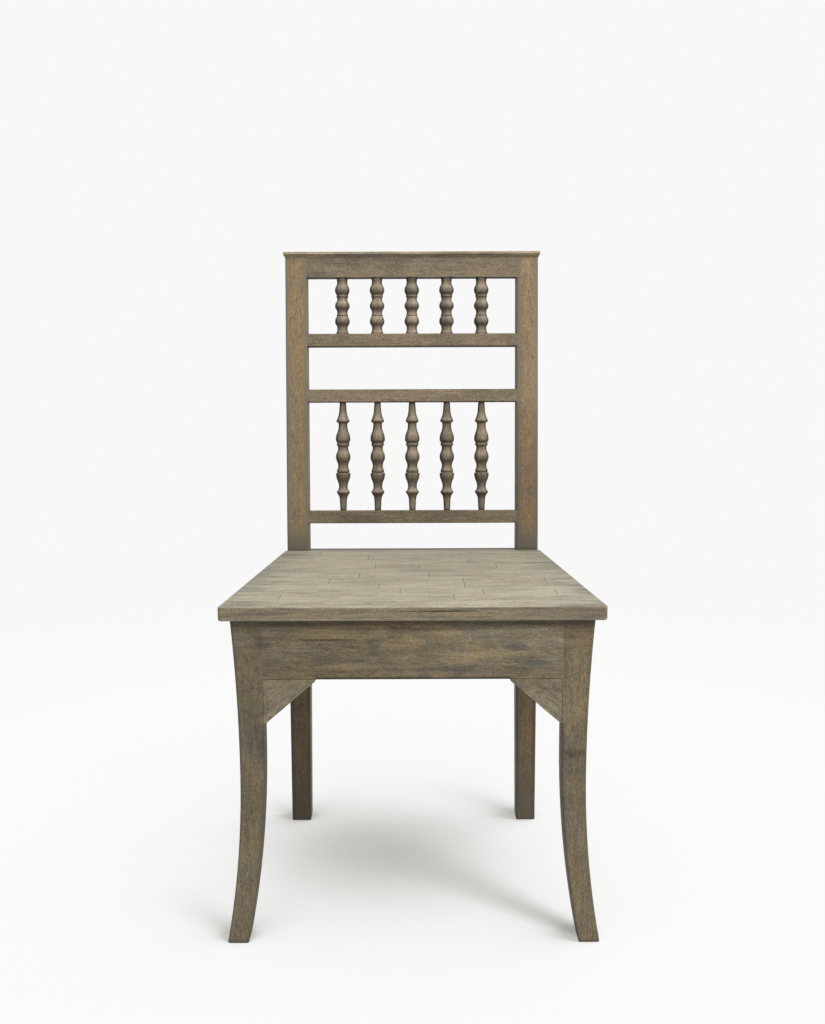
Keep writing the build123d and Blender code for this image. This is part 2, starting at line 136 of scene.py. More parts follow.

# Posts: greyed bands, rim of the flanks, dark arris, and the inner part of the right front, darkened as
# painted shade
POST_BAND = 0.008
POST_RIM = 0.016
POST_ARRIS = 0.004
POST_SHADED = 0.018

# Heights on the posts, of which all but the foot are measured from the top of the seat
POST_FOOT = (0.02, 0.17)
POST_SEAM = -0.03
POST_GREYED = (0.006, 0.05)
POST_UNDER = (-0.05, 0.01)

# Each post: silver, level of the painted shade under the seat, and heights and levels of the changes up its
# back
POST_WEAR_AND_SHADE = {
    "rear_post_left": (0.15, 0.55, ((0.69, 0.78, 0.9, 1.03),)),
    "rear_post_right": (0.35, 0.88, ((0.56, 0.68, 0.75, 0.93), (0.68, 0.74, 1.0, 1.26))),
}

# Rails: level of each one, and its spots: place across, reach, colour and amount
RAIL_LEVELS = {"crest_rail": 1.0, "upper_rail": 1.0, "middle_rail": 1.0, "lower_rail": 0.8}
RAIL_MARK_REACH = 0.1
RAIL_MARKS = {
    "crest_rail": ((0.12, 0.04, "rail_light", 0.6),
                   (-0.028, 0.03, "rail_dark", 0.4)),
    "upper_rail": ((0.057, 0.04, "rail_dark", 0.6),
                   (0.15, 0.04, "rail_light", 0.6)),
    "middle_rail": ((-0.11, 0.07, "rail_light", 0.7),
                    (0.115, 0.045, "rail_dark", 0.6)),
    "lower_rail": ((0.03, 0.07, "rail_dark", 0.5),
                   (0.15, 0.04, "rail_light", 0.6),
                   (-0.15, 0.03, "rail_light", 0.5)),
}

# Cap: height of the painted shade along its lower edge, and reach of the dirt and painted shade under it
CAP_SHADE = 0.003
CAP_CORNER = 0.01

# Spindles: levels of both banks, worn rim that is partly a painted highlight, and reach of the dirt and
# painted shade in hollows and in grooves
UPPER_LEVEL = 1.03
LOWER_LEVEL = 0.8
SPINDLE_RIM = 0.003
SPINDLE_HOLLOW = 0.01
SPINDLE_GROOVE = 0.004

# Seat: streaks from the sides, painted shade before the rear edge, and the worn lower and upper arrises
SEAT_STREAKS = 0.055
REAR_SHADE = (-0.008, -0.028)
SEAT_LOWER_ARRIS = (0.002, 0.005)
SEAT_RIM = 0.0035

# Spots of the seat by place and reach: a worn one on top, and a crack and a stain in the front edge
SEAT_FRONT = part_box(STRIPS[0])[0].y
WORN_SPOT = ((0.161, -0.082, 0.47), (0.04, 0.03, 0.02))
EDGE_CRACK = ((0.035, SEAT_FRONT, 0.4635), (0.06, 0.01, 0.0009))
EDGE_STAIN = ((0.2, SEAT_FRONT, 0.462), (0.06, 0.004, 0.02))

# The grain and spots of the front apron run on over the heads of the legs, down to a ragged height
LAP_HEIGHT = 0.405
LAP_RAGGED = 0.03
LAP_MARKS = 0.12

# Legs: rim, painted shade under the seat, and heights between which the level changes
LEG_RIM = 0.005
LEG_SHADE = (-0.006, -0.018)
LEG_FOOT = (0.1, 0.2)
LEG_HEAD = (0.27, 0.36)

# Aprons: half the change to a bracket, lines along the lower edge, of which the dark one is painted shade,
# painted shade under the seat, and painted light across
BRACKET_FADE = 0.003
APRON_JOINT = (0.0, 0.006)
APRON_ARRIS = (0.0015, 0.0045)
APRON_SHADE = (-0.0095, -0.0195)
APRON_ACROSS = (-0.2, 0.15)

# Spots on the front of the base: place across and up, reach across and up, colour and amount
BASE_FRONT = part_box("front_apron")[0].y
BASE_MARK_DEPTH = 0.02
LEG_MARKS = {
    "front_leg_left": ((-0.222, 0.421, 0.02, 0.014, "seat_dark", 0.65),
                       (-0.215, 0.335, 0.024, 0.05, "base_edge", 0.3),
                       (-0.205, 0.285, 0.02, 0.03, "base_edge", 0.4),
                       (-0.2, 0.233, 0.012, 0.012, "base_light", 0.4)),
    "front_leg_right": ((0.2125, 0.265, 0.017, 0.008, "deep_dirt_and_shade", 0.4),
                        (0.216, 0.4, 0.008, 0.03, "base_light", 0.4),
                        (0.214, 0.325, 0.02, 0.03, "base_light", 0.5),
                        (0.215, 0.06, 0.02, 0.05, "base_light", 0.5)),
}
APRON_MARKS = (
    (-0.195, 0.415, 0.017, 0.009, "base_edge", 0.6),
    (-0.05, 0.412, 0.018, 0.012, "base_edge", 0.65),
    (0.134, 0.409, 0.02, 0.006, "base_edge", 0.65),
    (-0.02, 0.434, 0.1, 0.003, "deep_dirt_and_shade", 0.4),
    (0.16, 0.388, 0.02, 0.004, "base_edge", 0.6),
    (-0.02, 0.41, 0.028, 0.014, "base_light", 0.6),
    (0.059, 0.392, 0.026, 0.008, "base_light", 0.7),
    (0.02, 0.38, 0.06, 0.004, "base_edge", 0.5),
    (0.185, 0.414, 0.034, 0.005, "grey", 0.6),
    (-0.125, 0.427, 0.05, 0.011, "base_light", 0.8),
    (-0.071, 0.425, 0.03, 0.006, "base_light", 0.7),
    (-0.12, 0.42, 0.05, 0.002, "deep_dirt_and_shade", 0.5),
    (0.03, 0.424, 0.035, 0.008, "base_dark", 0.5),
    (0.18, 0.428, 0.03, 0.008, "base_dark", 0.6),
    (0.01, 0.403, 0.05, 0.008, "base_dark", 0.4),
    (-0.16, 0.412, 0.03, 0.003, "base_light", 0.6),
)

# Screws: cloudiness of the plating, and the roughness that it ranges over
STEEL_CLOUD = (160.0, 160.0, 3.0)
STEEL_ROUGHNESS = (0.28, 0.5)

# The picture is 825 by 1024, and the camera's sensor is read along its height
SENSOR_HEIGHT = 36.0

# Floor: its disc, and how far out it fades into the backdrop
FLOOR_RADIUS = 6.0
FLOOR_SIDES = 96
FLOOR_FADE = (0.8, 2.2)

# Shadow painted on the floor close to the chair: fall-off, darkest level, level with the full tint, and
# samples
SHADOW_FALL = 3.0
SHADOW_DARKEST = 0.58
SHADOW_TINTED = 0.52
SHADOW_SAMPLES = 32

# Painted shadows of the feet on the floor: how deep each one starts, and how far it runs
STREAKS = {
    "front_leg_right": (0.36, 0.5),
    "front_leg_left": (0.13, 0.24),
    "rear_post_right": (0.11, 0.3),
    "rear_post_left": (0.05, 0.2),
}
FOOT_INSET = (0.016, 0.02)
STREAK_WIDTH = 0.018
STREAK_SPREAD = 0.24

# Painted darker core where the shadows of the legs and the seat meet: place, reach along and across the
# streaks, and depth
CORE_PLACE = (-0.065, 0.075, 0.0)
CORE_LENGTH = 0.3
CORE_BREADTH = 0.23
CORE_DEPTH = 0.28

# Light of the world, and how sharply its broad light falls off
WHITE = (1.0, 1.0, 1.0)
GLOW_FALL = 2.0


class CHAIR_PG_finish(bpy.types.PropertyGroup):
    """Colours and wear of the wood."""

    post_light: FloatVectorProperty(
        name="Post light", description="Honey middle of the posts",
        subtype="COLOR", default=(0.395, 0.285, 0.162))
    post_dark: FloatVectorProperty(
        name="Post dark", description="Darker wood of the posts",
        subtype="COLOR", default=(0.3, 0.222, 0.13))
    post_edge: FloatVectorProperty(
        name="Post edge", description="Greyed sides and feet of the posts",
        subtype="COLOR", default=(0.174, 0.16, 0.128))
    post_grey: FloatVectorProperty(
        name="Post grey", description="Greyed bands along the front of the posts",
        subtype="COLOR", default=(0.29, 0.247, 0.18))
    # Painted light: the inner faces under the seat are lightened and greyed where light falls on them
    post_inside_lit: FloatVectorProperty(
        name="Post inside", description="Silvered inner faces under the seat",
        subtype="COLOR", default=(0.62, 0.58, 0.49))
    rail_light: FloatVectorProperty(
        name="Rail light", description="Light patches of the rails",
        subtype="COLOR", default=(0.362, 0.28, 0.188))
    rail_dark: FloatVectorProperty(
        name="Rail dark", description="Dark patches of the rails",
        subtype="COLOR", default=(0.232, 0.188, 0.13))
    spindle_light: FloatVectorProperty(
        name="Spindle light", description="Worn bellies of the spindles",
        subtype="COLOR", default=(0.358, 0.286, 0.204))
    spindle_dark: FloatVectorProperty(
        name="Spindle dark", description="Body of the spindles",
        subtype="COLOR", default=(0.195, 0.162, 0.119))
    seat_light: FloatVectorProperty(
        name="Seat light", description="Pale patches of the seat",
        subtype="COLOR", default=(0.49, 0.45, 0.335))
    seat_dark: FloatVectorProperty(
        name="Seat dark", description="Darker patches of the seat",
        subtype="COLOR", default=(0.38, 0.34, 0.255))
    seat_tan: FloatVectorProperty(
        name="Seat tan", description="Worn patches of the seat",
        subtype="COLOR", default=(0.42, 0.33, 0.21))
    seat_edge: FloatVectorProperty(
        name="Seat edge", description="Upright edge of the seat",
        subtype="COLOR", default=(0.3, 0.235, 0.15))
    # Also painted shade before the rear edge of the seat
    seat_shade: FloatVectorProperty(
        name="Seat shade", description="Slate streaks along the sides of the seat",
        subtype="COLOR", default=(0.15, 0.15, 0.13))
    base_light: FloatVectorProperty(
        name="Base light", description="Tan patches of the base",
        subtype="COLOR", default=(0.355, 0.27, 0.158))
    base_dark: FloatVectorProperty(
        name="Base dark", description="Dark ground of the brackets and dark spots of the base",
        subtype="COLOR", default=(0.19, 0.163, 0.113))
    base_edge: FloatVectorProperty(
        name="Base edge", description="Slate spots and edges of the base",
        subtype="COLOR", default=(0.125, 0.124, 0.107))
    leg_light: FloatVectorProperty(
        name="Leg light", description="Tan streaks of the legs",
        subtype="COLOR", default=(0.338, 0.253, 0.15))
    leg_dark: FloatVectorProperty(
        name="Leg dark", description="Grey streaks of the legs",
        subtype="COLOR", default=(0.217, 0.181, 0.122))
    apron_dark: FloatVectorProperty(
        name="Apron dark", description="Dark ground of the aprons",
        subtype="COLOR", default=(0.205, 0.174, 0.12))
    bracket_light: FloatVectorProperty(
        name="Bracket light", description="Pale wood of the brackets",
        subtype="COLOR", default=(0.35, 0.295, 0.195))
    raw_light: FloatVectorProperty(
        name="Raw light", description="Light grain of the unfinished inner pieces",
        subtype="COLOR", default=(0.5, 0.38, 0.24))
    raw_dark: FloatVectorProperty(
        name="Raw dark", description="Dark grain of the unfinished inner pieces",
        subtype="COLOR", default=(0.34, 0.25, 0.15))
    grey: FloatVectorProperty(
        name="Grey", description="Silvered wood",
        subtype="COLOR", default=(0.25, 0.23, 0.185))
    # Also the colour of painted shade: under the seat, on sides turned from the light and in corners
    deep_dirt_and_shade: FloatVectorProperty(
        name="Deep", description="Dirt in pores, cracks and joints",
        subtype="COLOR", default=(0.035, 0.028, 0.02))
    steel: FloatVectorProperty(
        name="Steel", description="Plating of the screws",
        subtype="COLOR", default=(0.55, 0.54, 0.52))
    roughness: FloatProperty(
        name="Roughness", description="Dull wax", subtype="FACTOR", min=0, max=1, default=0.6)
    sheen: FloatProperty(
        name="Sheen", description="Specular level of the wax", subtype="FACTOR", min=0, max=1, default=0.15)
    relief: FloatProperty(
        name="Relief", description="Depth of the open grain", unit="LENGTH", min=0, default=0.0007)


class CHAIR_PG_stage(bpy.types.PropertyGroup):
    """Camera, lights and floor."""

    eye: FloatVectorProperty(
        name="Eye", description="Camera position",
        subtype="TRANSLATION", unit="LENGTH", default=(0.00138, -1.70911, 0.77866))
    pitch: FloatProperty(
        name="Pitch", description="Downward tilt of the camera",
        subtype="ANGLE", default=math.radians(7.35))
    roll: FloatProperty(
        name="Roll", description="Turn of the camera about its view",
        subtype="ANGLE", default=math.radians(0.2))
    yaw: FloatProperty(
        name="Yaw", description="Turn of the camera about the vertical",
        subtype="ANGLE", default=math.radians(0.04))
    lens: FloatProperty(
        name="Lens", description="Focal length", subtype="DISTANCE_CAMERA", default=40.602)
    dome: FloatProperty(
        name="Dome", description="Light from all round", min=0, default=0.36)
    lean: FloatProperty(
        name="Lean", description="How far the dome is brighter on the right", default=0.85)
    glow: FloatProperty(
        name="Glow", description="Broad light in front and above", min=0, default=0.9)
    glow_from: FloatVectorProperty(
        name="Glow from", description="Middle of the broad light",
        subtype="DIRECTION", default=(0.25, -0.54, 0.8))
    key_power: FloatProperty(
        name="Key power", description="Overhead light", min=0, default=0.8)
    key_angle: FloatProperty(
        name="Key angle", description="Width of the overhead light",
        subtype="ANGLE", default=math.radians(50))
    key_aim: FloatVectorProperty(
        name="Key aim", description="Way the overhead light travels",
        subtype="DIRECTION", default=(-0.13, 0.2, -1.0))
    # Settings of the shadow painted on the floor
    shadow_reach: FloatProperty(
        name="Shadow reach", description="How far above the floor the chair still darkens it",
        unit="LENGTH", default=0.6)
    shadow_lean: FloatVectorProperty(
        name="Shadow lean", description="Side that the floor's close light comes from",
        subtype="DIRECTION", default=(0.5, -0.6, 1.0))
    shadow_way: FloatVectorProperty(
        name="Shadow way", description="Way the shadows of the legs run",
        subtype="DIRECTION", default=(-0.69, 0.73, 0.0))
    shadow_depth: FloatProperty(
        name="Shadow depth", description="Strength of the close shadow", min=0, default=5.6)
    # Share of the floor that glows and shows only its painted shadow
    floor_glow: FloatProperty(
        name="Floor glow", description="Share of the floor that only its own shadow darkens",
        subtype="FACTOR", default=0.92)
    floor_bounce: FloatVectorProperty(
        name="Floor bounce", description="Colour of the floor as it lights the chair",
        subtype="COLOR", default=(0.5, 0.5, 0.49))
    floor_color: FloatVectorProperty(
        name="Floor", description="Colour of the floor",
        subtype="COLOR", default=(0.965, 0.965, 0.96))
    # Tint of the shadow painted on the floor
    floor_shade: FloatVectorProperty(
        name="Floor shade", description="Colour of the floor in the shadow",
        subtype="COLOR", default=(0.965, 0.968, 0.905))
    backdrop: FloatVectorProperty(
        name="Backdrop", description="Colour behind the chair",
        subtype="COLOR", default=(0.94, 0.94, 0.937))


def rgba(color):
    return (*color, 1.0)


class Graph:
    """A node tree in which one call makes and wires a node."""

    def __init__(self, tree):
        self.tree = tree
        tree.nodes.clear()

    def node(self, kind, inputs=(), **settings):
        """Makes a node, and links or fills its inputs."""
        made = self.tree.nodes.new(kind)
        for key, value in settings.items():
            setattr(made, key, value)
        for key, value in dict(inputs).items():
            if isinstance(value, bpy.types.NodeSocket):
                self.tree.links.new(value, made.inputs[key])
            else:
                made.inputs[key].default_value = value
        return made

    def math(self, operation, *values):
        return self.node("ShaderNodeMath", enumerate(values), operation=operation).outputs[0]

    def vector(self, operation, *values):
        """A vector, or the number that a length or a dot product gives."""
        made = self.node("ShaderNodeVectorMath", enumerate(values), operation=operation)
        return made.outputs["Value" if operation in ("LENGTH", "DOT_PRODUCT") else "Vector"]

    def times(self, first, second):
        return self.math("MULTIPLY", first, second)

    def rest(self, mask):
        """What a mask leaves free."""
        return self.math("SUBTRACT", 1.0, mask)

    def ragged(self, value, pattern, reach):
        """A value that a pattern pushes up and down."""
        return self.math("MULTIPLY_ADD", self.math("SUBTRACT", pattern, 0.5), reach, value)

    def span(self, value, low, high, out_low=0.0, out_high=1.0):
        """A value's place between low and high, held to the ends."""
        inputs = {"Value": value, "From Min": low, "From Max": high, "To Min": out_low, "To Max": out_high}
        return self.node("ShaderNodeMapRange", inputs, interpolation_type="SMOOTHSTEP").outputs[0]

    def fall(self, value, low, high):
        """One up to low, and none from high on."""
        return self.span(value, low, high, 1.0, 0.0)

    def blend(self, factor, first, second):
        inputs = {0: factor, 6: first, 7: second}
        return self.node("ShaderNodeMix", inputs, data_type="RGBA").outputs[2]

    def tint(self, color, amount):
        """A colour times a plain number."""
        return self.node("ShaderNodeVectorMath", {0: color, 3: amount}, operation="SCALE").outputs[0]

    def noise(self, place, along, across, detail=3.0, roughness=0.55, distortion=0.0):
        """Noise drawn out along the grain: features a metre over along, by a metre over across."""
        stretched = self.vector("MULTIPLY", place, (along, across, across))
        inputs = {"Vector": stretched, "Scale": 1.0, "Detail": detail, "Roughness": roughness,
                  "Distortion": distortion}
        return self.node("ShaderNodeTexNoise", inputs).outputs["Fac"]


class Wood(Graph):
    """Weathered wood, built up in layers from the tone of the ground to the dirt and painted shade in its
    corners.
    """

    def __init__(self, name, grain, seed, swirl=0.2, shared=None, lap=None):
        self.material = bpy.data.materials.new(name)
        self.material.use_nodes = True
        super().__init__(self.material.node_tree)
        self.finish = bpy.context.scene.chair_finish
        self.color = None
        self.place = self.node("ShaderNodeTexCoord").outputs["Object"]
        self.axis = self.node("ShaderNodeSeparateXYZ", {0: self.place}).outputs
        facing = self.node("ShaderNodeNewGeometry").outputs
        self.island = facing["Random Per Island"]
        self.normal = self.node("ShaderNodeSeparateXYZ", {0: facing["True Normal"]}).outputs
        self.upward = self.normal["Z"]
        self.flank = self.span(self.math("ABSOLUTE", self.normal["X"]), *FLANK)
        along = self.node("ShaderNodeMapping", {"Vector": self.moved(seed), "Rotation": grain}).outputs[0]
        broad = along if shared is None else self.moved(shared)
        if lap is not None:
            height = self.ragged(self.axis["Z"], self.noise(self.place, *LAP_EDGE), LAP_RAGGED)
            over = self.math("GREATER_THAN", height, LAP_HEIGHT)
            along = self.blend(over, along, self.moved(lap))
            broad = self.blend(over, broad, self.moved(BASE_SEED))
            swirl = self.math("MULTIPLY_ADD", over, BASE_SWIRL - swirl, swirl)
        self.grow(along, broad, swirl)

    def moved(self, seed):
        """Places in the wood, shifted so that each seed has a pattern of its own."""
        return self.vector("ADD", self.place, tuple(shift * seed for shift in SEED_SHIFT))

    def grow(self, along, broad, swirl):
        """Makes the patterns that the layers are laid by: broad ones, and fine ones along the grain."""
        self.patch = self.noise(broad, *PATCH, swirl)
        self.cloud = self.noise(broad, *CLOUD, swirl)
        self.silvering = self.noise(broad, *SILVERING, swirl)
        self.streak = self.noise(along, *STREAK)
        self.fibre = self.noise(along, *FIBRE)
        self.speck = self.noise(along, *SPECK)
        self.pore = self.span(self.noise(along, *PORE), *PORE_OPEN)
        ridge = self.math("ABSOLUTE", self.math("SUBTRACT", self.noise(along, *RIDGE), 0.5))
        cracked = self.span(self.noise(along, *CRACKED), *CRACK_OPEN)
        self.crack = self.times(self.fall(ridge, 0.0, CRACK_WIDTH), cracked)

    def mix(self, mask, color, amount):
        """Lays a colour over the wood where the mask is high."""
        self.color = self.blend(self.times(mask, amount), self.color, rgba(color))
        return self

    def scale(self, level):
        """Brightens or darkens the wood."""
        self.color = self.tint(self.color, level)
        return self

    def tone(self, dark, light, lighter=0.0, spread=0.12):
        """Ground of the wood, from dark to light patches."""
        clouded = self.times(self.cloud, 1 - PATCH_SHARE)
        mottle = self.math("MULTIPLY_ADD", self.patch, PATCH_SHARE, clouded)
        share = self.span(mottle, 0.5 - spread - lighter, 0.5 + spread - lighter)
        self.color = self.blend(share, rgba(dark), rgba(light))
        return self

    def staves(self, spread):
        """Gives each stave its own level."""
        return self.scale(self.span(self.island, 0.0, 1.0, 1 - spread, 1 + spread))

    def silver(self, share):
        """Greyed patches."""
        return self.mix(self.span(self.silvering, *SILVERED), self.finish.grey, share)

    def figure(self, streaks, specks, cracks=0.5, pores=0.35):
        """Streaks, fibres, specks, open pores and fine cracks."""
        fibres = FIBRE_SHARE * specks
        for pattern, spread in ((self.streak, streaks), (self.fibre, fibres), (self.speck, specks)):
            self.scale(self.span(pattern, *FIGURED, 1 - spread, 1 + spread))
        return self.mix(self.pore, self.finish.deep_dirt_and_shade, pores).mix(self.crack, self.finish.deep_dirt_and_shade, cracks)

    def away_from(self, inner, joints):
        """One everywhere but at the joints: heights between which a flush piece meets the inner side."""
        met = 0.0
        for low, high in joints:
            over = self.span(self.axis["Z"], low - JOINT_FADE, low + JOINT_FADE)
            under = self.fall(self.axis["Z"], high - JOINT_FADE, high + JOINT_FADE)
            met = self.math("MAXIMUM", met, self.times(over, under))
        across = self.math("ABSOLUTE", self.axis["X"])
        near = self.fall(across, *(inner + reach for reach in JOINT_REACH))
        return self.rest(self.times(met, near))

    def openness(self, reach, **settings):
        """How open the wood lies, outside or inside, to what is within reach."""
        made = self.node(
            "ShaderNodeAmbientOcclusion", {"Distance": reach}, samples=OCCLUSION_SAMPLES, **settings)
        return made.outputs["AO"]

    def rim(self, reach, color, amount, where=1.0):
        """A band along the edges, broken up by the mottle."""
        inside = self.openness(reach, inside=True, only_local=True)
        band = self.fall(self.ragged(inside, self.cloud, RIM_RAGGED), *RIM)
        return self.mix(self.times(band, where), color, amount)

    def edges(self, inner, outer, reach, color, amount, where=1.0):
        """A band along the upright edges of a front or back, given as distances from the middle."""
        across = self.math("ABSOLUTE", self.axis["X"])
        from_inner = self.math("SUBTRACT", across, inner)
        from_outer = self.math("SUBTRACT", outer, across)
        inset = self.math("MINIMUM", from_inner, from_outer)
        band = self.fall(self.ragged(inset, self.cloud, reach), *(share * reach for share in EDGE_FADE))
        return self.mix(self.times(self.times(band, where), self.rest(self.flank)), color, amount)

    def border(self, front, back, reach, color, amount):
        """Streaks that creep in from the slanted sides of the seat, given as half widths at two depths."""
        slant = (back[0] - front[0]) / (back[1] - front[1])
        half = self.math("MULTIPLY_ADD", self.axis["Y"], slant, front[0] - slant * front[1])
        inset = self.math("SUBTRACT", half, self.math("ABSOLUTE", self.axis["X"]))
        inset = self.ragged(inset, self.streak, BORDER_STREAKED * reach)
        inset = self.ragged(inset, self.patch, BORDER_PATCHED * reach)
        return self.mix(self.fall(inset, BORDER_FADE * reach, reach), color, amount)

    def lean(self, facing, level_down, level_up):
        """Paints light and shade by lean: sets the level of what leans to the floor and of what leans to
        the light.
        """
        return self.scale(self.span(self.upward, *facing, level_down, level_up))

    def under(self, level):
        """Paints shade on what faces the floor."""
        return self.lean(UNDERSIDE, level, 1.0)

    def band(self, axis, start, end, color, amount, where=1.0):
        """A colour that fades out from one place on an axis to another."""
        return self.mix(self.times(self.fall(self.axis[axis], start, end), where), color, amount)

    def fade(self, axis, start, end, level_start, level_end):
        """Changes the level along an axis."""
        return self.scale(self.span(self.axis[axis], start, end, level_start, level_end))

    def dirt_and_shade(self, reach, amount, low=0.3, high=0.85):
        """Dirt and painted shade in the corners, full where the wood is less open than low, and none from
        high on.
        """
        return self.mix(self.fall(self.openness(reach), low, high), self.finish.deep_dirt_and_shade, amount)

    def shade_flanks(self, color, amount):
        """Tints what faces left and right; used to paint shade on the sides."""
        return self.mix(self.flank, color, amount)

    def sides(self, color, amount, streaks, streak_amount):
        """Tints the upright faces of a flat piece, and streaks them."""
        upright = self.fall(self.math("ABSOLUTE", self.upward), *SEAT_SIDE)
        dark = self.times(upright, self.fall(self.streak, *STREAKED))
        return self.mix(upright, color, amount).mix(dark, streaks, streak_amount)

    def mark(self, place, reach, color, amount):
        """One soft ragged spot."""
        away = self.vector("DIVIDE", self.vector("SUBTRACT", self.place, place), reach)
        far = self.ragged(self.vector("LENGTH", away), self.cloud, SPOT_RAGGED)
        return self.mix(self.fall(far, *SPOT_FADE), color, amount)

    def base_marks(self, marks):
        """Spots on the front of the base."""
        for across, up, wide, high, color, amount in marks:
            place = (across, BASE_FRONT, up)
            self.mark(place, (wide, BASE_MARK_DEPTH, high), getattr(self.finish, color), amount)
        return self

    def done(self):
        """Adds the relief and the wax, and gives the material."""
        finish = self.finish
        height = self.times(self.streak, RELIEF_STREAK)
        height = self.math("MULTIPLY_ADD", self.fibre, RELIEF_FIBRE, height)
        height = self.math("MULTIPLY_ADD", self.speck, RELIEF_SPECK, height)
        height = self.math("MULTIPLY_ADD", self.pore, -RELIEF_PORE, height)
        height = self.math("SUBTRACT", height, self.crack)
        relief = self.node("ShaderNodeBump", {
            "Height": height, "Strength": RELIEF_STRENGTH, "Distance": finish.relief})
        surface = self.node("ShaderNodeBsdfPrincipled", {
            "Base Color": self.color, "Roughness": self.ragged(finish.roughness, self.fibre, GLOSS_SPREAD),
            "Normal": relief.outputs["Normal"], "Specular IOR Level": finish.sheen})
        self.node("ShaderNodeOutputMaterial", {"Surface": surface.outputs[0]})
        return self.material


def steel(name, color):
    """Plain plated screw steel."""
    material = bpy.data.materials.new(name)
    material.use_nodes = True
    g = Graph(material.node_tree)
    cloud = g.noise(g.node("ShaderNodeTexCoord").outputs["Object"], *STEEL_CLOUD)
    surface = g.node("ShaderNodeBsdfPrincipled", {
        "Base Color": rgba(color), "Metallic": 1.0, "Roughness": g.span(cloud, *FIGURED, *STEEL_ROUGHNESS)})
    g.node("ShaderNodeOutputMaterial", {"Surface": surface.outputs[0]})
    return material


def coat(node, material):
    """Gives a CAD node one material."""
    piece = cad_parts[node]
    piece.data.materials.clear()
    piece.data.materials.append(material)


class CHAIR_OT_posts(bpy.types.Operator):
    """Finish the rear posts"""

    bl_idname = "chair.posts"
    bl_label = "Finish the posts"

    def execute(self, context):
        look = context.scene.chair_finish
        joints = [[corner.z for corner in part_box(node)] for node in RAILS]
        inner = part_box("middle_rail")[1].x - RAIL_TENON
        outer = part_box(POSTS[1])[1].x
        seat_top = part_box(STRIPS[0])[1].z
        greyed = [seat_top + height for height in POST_GREYED]
        shaded = [seat_top + height for height in POST_UNDER]
        for seed, node in enumerate(POSTS, start=POST_SEED):
            left = node.endswith("left")
            silvered, painted_shade_level, fades = POST_WEAR_AND_SHADE[node]
            wood = Wood(f"wood_{node}", GRAIN_Z, seed)
            wood.tone(look.post_dark, look.post_light, lighter=0.04, spread=0.16).silver(share=silvered)
            above = wood.span(wood.axis["Z"], seat_top + POST_SEAM, seat_top)
            below = wood.rest(above)
            inward = wood.times(wood.normal["X"], 1.0 if left else -1.0)
            # Painted light on the inner faces under the seat
            wood.mix(wood.times(wood.span(inward, *INWARD), below), look.post_inside_lit, amount=0.95)
            wood.figure(streaks=0.08, specks=0.22, cracks=0.0)
            wood.rim(POST_RIM, look.post_edge, amount=0.85, where=wood.flank)
            wood.edges(inner, outer, POST_BAND, look.post_grey, amount=0.9)
            wood.edges(inner, outer, POST_BAND, look.deep_dirt_and_shade, amount=0.3, where=below)
            wood.rim(POST_ARRIS, look.deep_dirt_and_shade, amount=0.2, where=wood.away_from(inner, joints))
            for fade in fades:
                wood.fade("Z", *fade)
            if not left:
                # Painted shade on the inner part of the right post's front
                wood.fade("X", inner, inner + POST_SHADED, level_start=0.84, level_end=1.0)
            wood.band("Z", *greyed, look.post_edge, amount=0.8, where=above)
            wood.band("Z", *POST_FOOT, look.post_edge, amount=0.6)
            # Painted shade on the posts under the seat
            wood.fade("Z", *shaded, level_start=painted_shade_level, level_end=1.0)
            coat(node, wood.dirt_and_shade(CORNER, amount=0.5).done())
        return {"FINISHED"}


class CHAIR_OT_rails(bpy.types.Operator):
    """Finish the rails of the back and the cap"""

    bl_idname = "chair.rails"
    bl_label = "Finish the rails"

    def execute(self, context):
        look = context.scene.chair_finish
        for seed, node in enumerate(RAILS, start=RAIL_SEED):
            low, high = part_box(node)
            middle = (low + high) / 2
            wood = Wood(f"wood_{node}", GRAIN_X, seed)
            wood.tone(look.rail_dark, look.rail_light).silver(share=0.3)
            for across, reach, color, amount in RAIL_MARKS[node]:
                place = (across, middle.y, middle.z)
                wood.mark(place, (reach, RAIL_MARK_REACH, RAIL_MARK_REACH), getattr(look, color), amount)
            # Undersides darkened as painted shade
            wood.figure(streaks=0.1, specks=0.23, cracks=0.15).under(level=0.1).scale(RAIL_LEVELS[node])
            coat(node, wood.dirt_and_shade(CORNER, amount=0.75).done())
        cap_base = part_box("crest_cap")[0].z
        cap = Wood("wood_crest_cap", GRAIN_X, CAP_SEED)
        cap.tone(look.rail_dark, look.rail_light).silver(share=0.5)
        # Painted light on what faces up and painted shade on the bevel that leans down
        cap.figure(streaks=0.1, specks=0.15, cracks=0.0).lean(CAP_BEVEL, level_down=0.83, level_up=1.85)
        # Painted shade along the cap's lower edge
        cap.band("Z", cap_base, cap_base + CAP_SHADE, look.deep_dirt_and_shade, amount=0.6)
        coat("crest_cap", cap.dirt_and_shade(CAP_CORNER, amount=0.6).done())
        return {"FINISHED"}


